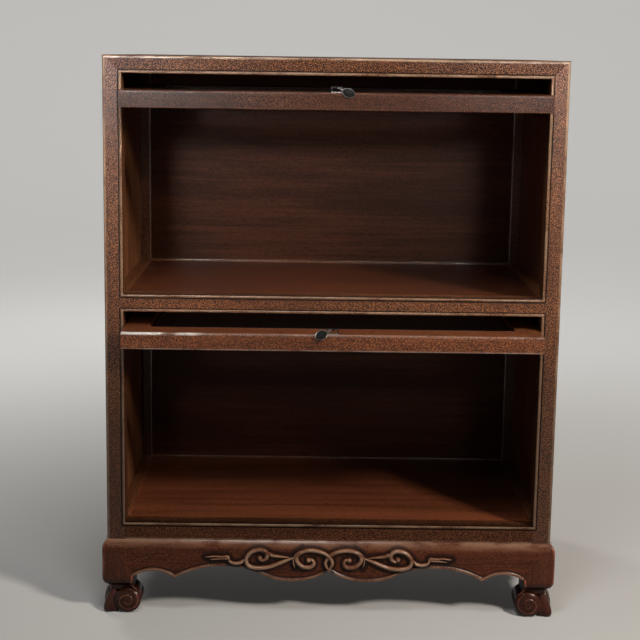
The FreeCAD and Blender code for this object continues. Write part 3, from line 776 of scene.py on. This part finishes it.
# Carving, as flat points (along, height) in millimetres for the left half.
SCROLLS = {
    "outer": ((-122, 106), (-118.2, 101.4), (-112.2, 103.2), (-108.2, 110), (-111.5, 117.6), (-122, 120.8),
              (-136.5, 116), (-145, 104.2), (-141.6, 92.2), (-128, 87.4), (-108, 88.8), (-90.5, 95), (-74.5, 102),
              (-62.5, 106.6)),
    "inner": ((-37, 101.8), (-30.6, 103.6), (-26.4, 97.6), (-31.2, 90.6), (-44.5, 90.2), (-55.4, 99.4),
              (-55.6, 110.4), (-45, 118.4), (-29, 120.6), (-12, 116.8), (0.6, 108.6), (6, 98.6), (3.4, 89.6),
              (-2.6, 82.4)),
    "shadow": ((-59.6, 88.6), (-62.4, 100.6), (-58.6, 112.8), (-46, 121.4)),
    "leaf": ((-107.5, 115.5), (-99, 110.6), (-86, 108.8), (-69, 107.4)),
    "wisp": ((-148.5, 103.6), (-154.6, 97), (-166, 95.6), (-174.6, 99.4), (-177.4, 107), (-189.6, 106.8),
             (-200, 107.8), (-216, 106.2)),
    "spray": ((-177, 104), (-190, 103.6), (-208, 102)),
}
# Each strand's share of the full width, and its taper from one end to the other.
STYLES = {"outer": (1.0, (0.85, 0.75)), "inner": (1.0, (0.85, 0.7)), "shadow": (0.5, (0.6, 0.6)),
          "leaf": (0.75, (1.0, 0.2)), "wisp": (0.7, (1.0, 0.25)), "spray": (0.5, (1.0, 0.2))}
CROSSING = {"lift": 1.2 * MM, "reach": 9.0 * MM, "above": 96.0 * MM}


def smooth_path(points, step=1.3):
    """Even points on a smooth curve through flat points."""
    points = [Vector(p) for p in points]
    ends = [points[0] * 2 - points[1]] + points + [points[-1] * 2 - points[-2]]
    out = []
    for p0, p1, p2, p3 in zip(ends, ends[1:], ends[2:], ends[3:]):
        count = max(2, round((p2 - p1).length / step))
        for i in range(count):
            t = i / count
            out.append(0.5 * ((2 * p1) + (p2 - p0) * t + (2 * p0 - 5 * p1 + 4 * p2 - p3) * t ** 2
                              + (3 * p1 - p0 - 3 * p2 + p3) * t ** 3))
    out.append(points[-1])
    return out


# A strand across its width: share of the width, share of the height, wear and painted highlight.
STRAND = ((-0.5, -0.3, 0.0), (-0.49, 0.15, 0.0), (-0.44, 0.5, 0.3), (-0.34, 0.8, 0.9), (-0.2, 0.96, 1.0),
          (-0.07, 1.0, 1.0))
STRAND += tuple((-out, up, wear_highlight_share) for out, up, wear_highlight_share in reversed(STRAND))


def strand(bm, path, width, relief, place, taper=(1.0, 0.3), lift=None):
    """A carved strand along a flat path on the apron's face."""
    sections = []
    last = len(path) - 1
    for i, p in enumerate(path):
        t = i / last
        way = (path[min(last, i + 1)] - path[max(0, i - 1)]).normalized()
        across = Vector((-way.y, way.x))
        ease = min(1.0, 0.35 + 6.0 * min(t, 1.0 - t))
        thin, fall = taper[0], taper[1] - taper[0]
        wide = width * (thin + fall * t ** 1.5) * ease
        high = relief * (0.55 + 0.45 * ease) * (0.6 + 0.4 * (thin + fall * t))
        if lift:
            high += lift(p)
        ring = []
        for out, up, wear_highlight_share in STRAND:
            flat = p + across * out * wide
            ring.append((place(flat.x, -up * high, flat.y), wear_highlight_share))
        sections.append(ring)
    loft(bm, sections)


def scroll_eye(bm, centre, radius, depth, place):
    """The round button at the heart of a scroll."""
    wear = bm.verts.layers.float["wear"]
    ball = bmesh.ops.create_uvsphere(bm, u_segments=20, v_segments=12, radius=1.0)
    for vert in ball["verts"]:
        # The front half of the button is painted paler: wear and painted highlight.
        vert[wear] = max(0.0, -vert.co.y)
        vert.co = place(centre.x + radius * vert.co.x, depth * vert.co.y, centre.y + radius * vert.co.z)


class CABINET_OT_aprons(bpy.types.Operator):
    """Shaped aprons, the front one carved with scrolls"""
    bl_idname = "cabinet.aprons"
    bl_label = "Aprons"

    def execute(self, context):
        carve = context.scene.cabinet_carving
        stand = stand_limits()
        paths = {}
        for name, points in SCROLLS.items():
            path = [p * MM for p in smooth_path(points)]
            paths[name, 1.0] = path
            paths[name, -1.0] = [Vector((-p.x, p.y)) for p in path]
        along_x = stand["right"] - STAND["leg"]
        along_y = (stand["back"] - stand["front"]) / 2 - STAND["leg"]
        middle_y = (stand["back"] + stand["front"]) / 2

        def front_place(s, depth, z):
            return Vector((s, stand["front"] + depth, z))

        bm = new_shape()
        apron(bm, FRONT_EDGE, along_x, front_place, list(paths.values()))
        for (name, side), path in paths.items():
            size, taper = STYLES[name]

            def lift(p, over=(name == "inner" and side > 0)):
                if over and p.y > CROSSING["above"]:
                    return CROSSING["lift"] * max(0.0, 1.0 - abs(p.x) / CROSSING["reach"])
                return 0.0
            strand(bm, path, carve.strand * size, carve.relief * (0.6 + 0.4 * size), front_place, taper, lift)
            if name in ("outer", "inner"):
                scroll_eye(bm, path[1], carve.strand * 0.5, carve.relief * 1.08, front_place)
        finish_piece(bm, "front_apron", "carved", "apron_wood")
        bm = new_shape()
        apron(bm, FRONT_EDGE, along_x, lambda s, depth, z: Vector((-s, stand["back"] - depth, z)))
        finish_piece(bm, "back_apron", "shaped", "apron_wood")
        for side, name in ((-1.0, "left_apron"), (1.0, "right_apron")):
            bm = new_shape()
            apron(bm, SIDE_EDGE, along_y,
                  lambda s, depth, z: Vector((side * (stand["right"] - depth), middle_y + s, z)))
            finish_piece(bm, name, "shaped", "side_apron_wood")
        return {"FINISHED"}


def stand_limits():
    """Outer faces of the aprons."""
    return {"front": limits("front_apron")[0].y, "back": limits("back_apron")[1].y,
            "right": limits("right_apron")[1].x}


def step_through(stops, x):
    """Straight-line value at x between (x, value) stops."""
    for (x0, v0), (x1, v1) in zip(stops, stops[1:]):
        if x <= x1:
            return v0 + (v1 - v0) * max(0.0, x - x0) / (x1 - x0)
    return stops[-1][1]


# A leg in millimetres: (height, distance in from the corner) for the knee and the toe, and the upper part's levels.
KNEE = ((40.0, 11.5), (47.0, 11.0), (48.5, 10.0), (50.0, 8.2), (52.0, 5.6), (54.5, 3.3), (58.0, 1.4), (62.0, 0.3),
        (66.0, 0.0))
TOE = ((0.0, 2.0), (1.5, 0.4), (5.0, -0.8), (10.0, -0.6), (16.0, 0.6), (22.0, 2.4), (28.0, 4.6), (34.0, 7.2),
       (39.0, 9.4), (43.0, 11.2), (46.0, 12.5))
LEG_LEVELS = (134.0, 131.0, 127.0, 122.0, 116.0, 110.0, 104.0, 96.0, 88.0, 80.0, 72.0, 66.0, 62.0, 60.0, 58.0, 56.0,
              54.5, 53.0, 52.0, 51.0, 50.0, 49.2, 48.5, 47.0, 40.0)
LEG_TIP, LEG_ROUND = 0.6, 5.0
# The toe in plan: its reach, how much less at the top, the step of its sides, its back, its roundings, and the wear
# and painted highlight on them.
TOE_PLAN = {"reach": 25.0, "less": 4.0, "step": 4.5, "back": 8.0, "rounds": (13.0, 3.0, 2.0), "wear": 0.15}
# A leg's bead: how much higher it stands than the apron's, how far it follows the knee, its line as (in, height).
LEG_BEAD_HIGHER, LEG_BEAD_IN = 0.4, 9.0
LEG_BEAD = ((52.2, 71.0), (51.6, 62.0), (50.6, 54.0), (51.8, 47.0), (57.0, 41.5), (63.0, 36.0))
# The scroll of a foot: its dome as (share of the radius, depth), and its spiral line.
DOME = ((0.0, -2.5), (0.3, -2.3), (0.5, -1.7), (0.7, -0.7), (0.84, 0.4), (0.93, 1.6), (0.98, 3.0), (1.0, 5.0))
DRUM_DEPTH, LEAN, LEAN_FROM, LEAN_OVER = 46.0, 7.0, 6.0, 38.0
SCROLL = {"centre": (43.6, 21.8), "wide": 23.6, "high": 21.6, "sides": 56, "steps": 90, "turns": 1.65,
          "start": math.radians(60.0), "reach": (0.86, 0.14), "wire": (1.5, 1.1), "rise": 0.9, "wire_sides": 8}


class CABINET_OT_legs(bpy.types.Operator):
    """Legs with knees and scroll feet"""
    bl_idname = "cabinet.legs"
    bl_label = "Legs"

    def execute(self, context):
        stand = stand_limits()
        for side_x, x_name in ((-1.0, "left"), (1.0, "right")):
            for side_y, y_name in ((-1.0, "front"), (1.0, "back")):
                corner = Vector((side_x * stand["right"], stand["front"] if side_y < 0 else stand["back"], 0.0))

                def place(a, b, z):
                    return corner + Vector((-side_x * a, -side_y * b, z)) * MM
                bm = new_shape()
                self.upper(bm, place)
                self.toe(bm, place)
                for turned in (place, lambda a, b, z: place(b, a, z)):
                    self.volute(bm, turned)
                    self.edge_bead(bm, turned)
                name = f"{y_name}_{x_name}_leg"
                keep_beyond(bm, name, (0.0, 0.0, STAND["top"]), (0.0, 0.0, 1.0))
                finish_piece(bm, name, "scrolled", "leg_wood")
        return {"FINISHED"}

    def edge_bead(self, bm, place):
        """The apron's bead, carried down the inner edge of the leg into the scroll."""
        carve = bpy.context.scene.cabinet_carving
        width, rise = carve.edge_bead / MM, carve.edge_rise / MM + LEG_BEAD_HIGHER

        def on_leg(a, depth, z):
            return place(a, depth + min(LEG_BEAD_IN, step_through(KNEE, z)), z)

        strand(bm, smooth_path(LEG_BEAD, 1.5), width, rise, on_leg, (1.0, 0.6))

    def upper(self, bm, place):
        """The knee and ankle, cut away at the top for the mitred aprons."""
        leg, thick, top, slope = (STAND_MM[key] for key in ("leg", "thick", "top", "slope"))
        sections = []
        for z in LEG_LEVELS:
            m = max(LEG_TIP, min(leg, top - z))
            k = min(thick, m)
            near = step_through(KNEE, z)
            near += STAND_MM["slope_in"] * max(0.0, (z - top + slope) / slope) ** SLOPE_CURVE
            r = min(LEG_ROUND, m * 0.5)
            m, k, deep = max(m, near + r), max(k, near + r), max(thick, near)
            outline = [(near + r, near), (m, near), (m, k), (leg, deep), (leg, leg), (deep, leg), (k, m), (near, m),
                       (near, near + r)]
            ring = [(place(a, b, z), 0.0) for a, b in outline]
            # The rounded inner corner is painted paler: wear and painted highlight.
            for t in (0.25, 0.5, 0.75):
                p = Vector((near, near + r)) * (1 - t) ** 2 + Vector((near, near)) * 2 * t * (1 - t) \
                    + Vector((near + r, near)) * t ** 2
                ring.append((place(p.x, p.y, z), 1.0))
            sections.append(ring)
        loft(bm, sections)

    def toe(self, bm, place):
        """The rounded outer lobe of the foot."""
        sections = []
        nose, side, heel = TOE_PLAN["rounds"]
        for z, o in TOE:
            far = TOE_PLAN["reach"] - TOE_PLAN["less"] * (z / TOE[-1][0]) ** 2
            step, back = o + TOE_PLAN["step"], far + TOE_PLAN["back"]
            corners = [(o, o, nose), (far, step, side), (back, back, heel), (step, far, side)]
            sections.append([(place(a, b, z), TOE_PLAN["wear"] * w) for a, b, w in rounded(corners, 0.4, 7)])
        loft(bm, sections)

    def volute(self, bm, place):
        """A scroll on one face: a domed drum with a spiral line on its end."""
        (x, y), wide, high = SCROLL["centre"], SCROLL["wide"], SCROLL["high"]

        def around(count):
            return [2 * math.pi * i / count for i in range(count)]

        def leaning(share, depth, turn):
            z = y + share * high * math.sin(turn)
            lean = LEAN * min(1.0, max(0.0, (z - LEAN_FROM) / LEAN_OVER))
            return place(x + share * wide * math.cos(turn), depth + lean, z)

        loft(bm, [[(leaning(share, depth, turn), 0.0) for turn in around(SCROLL["sides"])]
                  for share, depth in DOME[1:] + ((1.0, DRUM_DEPTH),)])
        sections = []
        for i in range(SCROLL["steps"] + 1):
            t = i / SCROLL["steps"]
            turn = SCROLL["start"] - 2 * math.pi * SCROLL["turns"] * t
            far, wire = (first * (1.0 - t) + last * t for first, last in (SCROLL["reach"], SCROLL["wire"]))
            ring = []
            for side in around(SCROLL["wire_sides"]):
                share = far + wire * math.cos(side) / high
                depth = step_through(DOME, share) - SCROLL["rise"] * math.sin(side)
                # The spiral's front side is painted paler: wear and painted highlight.
                ring.append((leaning(share, depth, turn), max(0.0, math.sin(side))))
            sections.append(ring)
        loft(bm, sections)


# Doors, pulls and fittings.

DOOR = {"stile": 42.0 * MM, "rail": 48.0 * MM, "rebate": 8.0 * MM, "cover": 11.0 * MM, "arris": 3.0 * MM,
        "easing": 1.0 * MM}
# Where the painted highlight along the lower door's front arris ends, how it fades, and the wear and painted
# highlight of other edges.
HIGHLIGHT_TO = {"lower": -0.235}
HIGHLIGHT_FADE = 20.0 * MM
ARRIS_WEAR_AND_HIGHLIGHT, EDGE_WEAR_AND_HIGHLIGHT = 0.12, 0.3


def door_outline(width, low, high, arris):
    """A door member across its length: (distance in from the outer edge, height, wear and painted highlight)."""
    ease, inner = DOOR["easing"], width - DOOR["rebate"]
    seat = high - DOOR["cover"]
    corners = [(0.0, high, arris), (width, high, ease), (width, seat, ease), (inner, seat, 0.0), (inner, low, ease),
               (0.0, low, ease)]
    return [(u, z, w if u < arris + TINY and z > high - arris - TINY else EDGE_WEAR_AND_HIGHLIGHT * w)
            for u, z, w in rounded(corners, 2.0 * MM, 4)]


class CABINET_OT_doors(bpy.types.Operator):
    """Framed doors with panes and glazing beads"""
    bl_idname = "cabinet.doors"
    bl_label = "Doors"

    def execute(self, context):
        for level in ("upper", "lower"):
            body = level + "_door"
            self.rail(level, "door_bottom_rail", 1.0, DOOR["arris"], HIGHLIGHT_TO.get(level))
            self.rail(level, "door_top_rail", -1.0, DOOR["easing"])
            for side, name in ((1.0, "door_left_stile"), (-1.0, "door_right_stile")):
                self.stile(level, name, side)
            softened(f"{level}_door_glazing_beads", "inner_wood_x", body, 0.5 * MM, 30.0 * MM,
                     1.0 * MM)
            softened(f"{level}_door_pane", "pane_glass", body, 0.3 * MM, 30.0 * MM, 0.6 * MM)
        return {"FINISHED"}

    def rail(self, level, name, way, arris, highlight_to=None):
        """A mitred rail; way points from its outer edge into the door."""
        node = f"{level}_{name}"
        low, high = limits(node)
        outer = low.y if way > 0 else high.y
        outline = door_outline(DOOR["rail"], low.z, high.z, arris)
        mitre = DOOR["stile"] / DOOR["rail"]
        stops = [lambda u: low.x + u * mitre, lambda u: high.x - u * mitre]
        # Share of the paler edge tone along the front arris: a full painted highlight on the lower door's stretch,
        # a faint wear and highlight elsewhere.
        bare = [ARRIS_WEAR_AND_HIGHLIGHT, ARRIS_WEAR_AND_HIGHLIGHT]
        if highlight_to is not None:
            stops[1:1] = [lambda u: highlight_to, lambda u: highlight_to + HIGHLIGHT_FADE]
            bare = [1.0, 1.0] + bare
        bm = new_shape()
        loft(bm, [[(Vector((stop(u), outer + way * u, z)), w * wear_highlight_share if w > 0.5 else w) for u, z, w in outline]
                  for stop, wear_highlight_share in zip(stops, bare)])
        finish_piece(bm, node, "finished", level + "_door_rail_wood", level + "_door")

    def stile(self, level, name, side):
        """A mitred stile; side points from its outer edge into the door."""
        node = f"{level}_{name}"
        low, high = limits(node)
        outer = low.x if side > 0 else high.x
        mitre = DOOR["rail"] / DOOR["stile"]
        outline = door_outline(DOOR["stile"], low.z, high.z, DOOR["easing"])
        bm = new_shape()
        loft(bm, [[(Vector((outer + side * u, stop(u), z)), EDGE_WEAR_AND_HIGHLIGHT * w) for u, z, w in outline]
                  for stop in (lambda u: low.y + u * mitre, lambda u: high.y - u * mitre)])
        finish_piece(bm, node, "finished", level + "_door_stile_wood", level + "_door")


class CABINET_OT_fittings(bpy.types.Operator):
    """Pivot pins, shoes, guides and ball catches"""
    bl_idname = "cabinet.fittings"
    bl_label = "Fittings"

    def execute(self, context):
        for level in ("upper", "lower"):
            softened(f"{level}_door_pivot_pins", "brass", level + "_door", shortest=NO_EASING)
            softened(f"{level}_door_shoes", "brass", level + "_shoes", 0.4 * MM, 6.0 * MM, 0.8 * MM)
            softened(f"{level}_door_guides", "inner_wood_y", "cabinet", 0.6 * MM, 40.0 * MM, 1.2 * MM)
            softened(f"{level}_ball_catches", "brass", "cabinet", shortest=NO_EASING)
        return {"FINISHED"}


LEAF = {"rounding": 0.3 * MM, "rim": 0.6 * MM, "sunk": 0.4 * MM}


class CABINET_OT_pulls(bpy.types.Operator):
    """Drop pulls: plate, staple and leaf"""
    bl_idname = "cabinet.pulls"
    bl_label = "Pulls"

    def execute(self, context):
        for level in ("upper", "lower"):
            door, pendant = level + "_door", level + "_pendant"
            softened(f"{level}_pull_plate", "pull_iron", door, 0.2 * MM, 3.0 * MM, 0.4 * MM)
            softened(f"{level}_pull_staple", "pull_wire", door, shortest=NO_EASING)
            self.leaf(f"{level}_pull_pendant", pendant)
        return {"FINISHED"}

    def leaf(self, node, body):
        """The pendant: both faces of the leaf are sunk inside a rounded rim that is worn bright."""
        bm = cad_copy(node)
        wear = bm.verts.layers.float["wear"]

        def two_largest():
            return sorted(bm.faces, key=lambda f: f.calc_area())[-2:]

        faces = two_largest()
        rim = [edge for edge in bm.edges if any(face in faces for face in edge.link_faces)]
        for vert in bevelled(bm, rim, LEAF["rounding"], True)["verts"]:
            vert[wear] = 1.0
        faces = two_largest()
        bmesh.ops.inset_individual(bm, faces=faces, thickness=LEAF["rim"], depth=-LEAF["sunk"],
                                   use_even_offset=True)
        for face in faces:
            for vert in face.verts:
                vert[wear] = 0.0
        finish_piece(bm, node, "finished", "pull_iron", body)


# Stage.

CAMERA = {"focal": 1294.2, "frame": 640.0, "centre_y": 256.0, "sensor": 36.0, "yaw": 0.00729, "pitch": 0.15601,
          "roll": -0.01459, "place": (-39.0, -2171.4, 8.4)}
# Lamps: name, setting, share of its power, place, target, size, tone, spread in degrees.
LAMPS = (
    ("key_lamp", "key", 1.0, (1.42, -1.36, 1.72), (0.05, 0.0, 0.5), 0.36, (1.0, 0.93, 0.84), 180.0),
    ("left_lamp", "fill", 1.0, (-0.62, -1.95, 1.28), (-0.38, -0.19, 0.94), 0.3, (0.92, 0.95, 1.0), 34.0),
    ("right_lamp", "fill", 0.6, (0.70, -1.95, 1.28), (0.38, -0.19, 0.93), 0.3, (0.87, 0.94, 1.0), 34.0),
    ("top_lamp", "top", 1.0, (-0.1, -0.9, 1.9), (0.0, -0.25, 0.6), 0.5, (0.97, 0.98, 1.0), 180.0),
    ("back_lamp", "back", 1.0, (-1.5, 1.7, 1.7), (0.0, 0.2, 0.45), 0.7, (1.0, 0.96, 0.92), 180.0),
)
WORLD = {"tone": (0.96, 0.97, 1.0, 1.0), "strength": 0.09}
# Round floor in metres: radius of the flat, bend up to the wall, height of the wall.
FLOOR = {"flat": 5.0, "bend": 1.5, "wall": 4.0, "start": 4.6, "sides": 96, "steps": 12}


class CABINET_OT_stage(bpy.types.Operator):
    """Floor, lamps, world and camera"""
    bl_idname = "cabinet.stage"
    bl_label = "Stage"

    def execute(self, context):
        scene = context.scene
        look = scene.cabinet_stage
        scene.view_settings.view_transform = "Standard"
        self.floor(scene, tuple(look.floor))
        for name, setting, part, place, target, size, tone, spread in LAMPS:
            self.lamp(scene, name, getattr(look, setting) * part, place, target, size, tone, spread)
        self.world(scene)
        self.camera(scene)
        return {"FINISHED"}

    def floor(self, scene, tone):
        """A round floor whose rim bends up into a wall."""
        flat, bend, steps = FLOOR["flat"], FLOOR["bend"], FLOOR["steps"]
        bm = bmesh.new()
        bmesh.ops.create_circle(bm, cap_ends=True, radius=FLOOR["start"], segments=FLOOR["sides"])
        edges = bm.edges[:]
        turns = [math.pi / 2 * i / steps for i in range(steps + 1)]
        rings = [(flat + bend * math.sin(turn), bend * (1.0 - math.cos(turn))) for turn in turns]
        for radius, height in rings + [(flat + bend, FLOOR["wall"])]:
            made = bmesh.ops.extrude_edge_only(bm, edges=edges)["geom"]
            edges = [g for g in made if isinstance(g, bmesh.types.BMEdge)]
            for vert in (g for g in made if isinstance(g, bmesh.types.BMVert)):
                out = vert.co.xy.normalized() * radius
                vert.co = (out.x, out.y, height)
        bmesh.ops.recalc_face_normals(bm, faces=bm.faces)
        mesh = bpy.data.meshes.new("stage_floor")
        bm.to_mesh(mesh)
        bm.free()
        mesh.shade_smooth()
        mesh.materials.append(plain_floor("stage_floor_paint", tone))
        floor = bpy.data.objects.new("stage_floor", mesh)
        scene.collection.objects.link(floor)

    def lamp(self, scene, name, power, place, target, size, tone, spread):
        """A round lamp turned to its target, not seen by the camera."""
        data = bpy.data.lights.new(name, "AREA")
        data.shape = "DISK"
        data.size, data.spread = size, math.radians(spread)
        data.energy, data.color = power, tone
        lamp = bpy.data.objects.new(name, data)
        lamp.location = place
        lamp.visible_camera = False
        lamp.rotation_euler = (Vector(target) - Vector(place)).to_track_quat("-Z", "Y").to_euler()
        scene.collection.objects.link(lamp)

    def world(self, scene):
        world = bpy.data.worlds.new("stage_world")
        world.use_nodes = True
        scene.world = world
        back = world.node_tree.nodes["Background"]
        back.inputs["Color"].default_value = WORLD["tone"]
        back.inputs["Strength"].default_value = WORLD["strength"]

    def camera(self, scene):
        """The camera fitted to the photo, placed from the top of the case's front."""
        front = limits("front_left_post")[0].y
        case_top = limits("top_front_rail")[1].z
        turn = (Matrix.Rotation(-CAMERA["yaw"], 4, "Z") @ Matrix.Rotation(math.pi / 2 - CAMERA["pitch"], 4, "X")
                @ Matrix.Rotation(-CAMERA["roll"], 4, "Z"))
        data = bpy.data.cameras.new("photo_camera")
        data.sensor_width = CAMERA["sensor"]
        data.lens = CAMERA["focal"] / CAMERA["frame"] * CAMERA["sensor"]
        data.shift_y = -(CAMERA["frame"] / 2 - CAMERA["centre_y"]) / CAMERA["frame"]
        camera = bpy.data.objects.new("photo_camera", data)
        x, y, z = (v * MM for v in CAMERA["place"])
        camera.matrix_world = Matrix.Translation((x, front + y, case_top + z)) @ turn
        scene.collection.objects.link(camera)
        scene.camera = camera


class CABINET_PT_panel(bpy.types.Panel):
    """Sizes, colours and steps of the cabinet"""
    bl_idname = "CABINET_PT_panel"
    bl_label = "Display cabinet"
    bl_space_type = "VIEW_3D"
    bl_region_type = "UI"
    bl_category = "Cabinet"

    def draw(self, context):
        for name in SETTINGS:
            box = self.layout.box()
            group = getattr(context.scene, name)
            for key in group.__annotations__:
                box.prop(group, key)
        for step in STEPS:
            self.layout.operator(step.bl_idname)


SETTINGS = {"cabinet_wood": CabinetWoodSettings, "cabinet_moulding": CabinetMouldingSettings,
            "cabinet_carving": CabinetCarvingSettings, "cabinet_metal": CabinetMetalSettings,
            "cabinet_stage": CabinetStageSettings}
STEPS = (CABINET_OT_front_frame, CABINET_OT_rest_of_frame, CABINET_OT_panels, CABINET_OT_aprons, CABINET_OT_legs,
         CABINET_OT_doors, CABINET_OT_fittings, CABINET_OT_pulls, CABINET_OT_stage)


def register():
    for group in SETTINGS.values():
        bpy.utils.register_class(group)
    for name, group in SETTINGS.items():
        setattr(bpy.types.Scene, name, bpy.props.PointerProperty(type=group))
    for step in STEPS:
        bpy.utils.register_class(step)
    bpy.utils.register_class(CABINET_PT_panel)


def unregister():
    bpy.utils.unregister_class(CABINET_PT_panel)
    for step in reversed(STEPS):
        bpy.utils.unregister_class(step)
    for name, group in SETTINGS.items():
        delattr(bpy.types.Scene, name)
        bpy.utils.unregister_class(group)


def main():
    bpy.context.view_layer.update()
    register()
    bpy.ops.cabinet.front_frame()
    bpy.ops.cabinet.rest_of_frame()
    bpy.ops.cabinet.panels()
    bpy.ops.cabinet.aprons()
    bpy.ops.cabinet.legs()
    bpy.ops.cabinet.doors()
    bpy.ops.cabinet.fittings()
    bpy.ops.cabinet.pulls()
    bpy.ops.cabinet.stage()


if __name__ == "__main__":
    main()
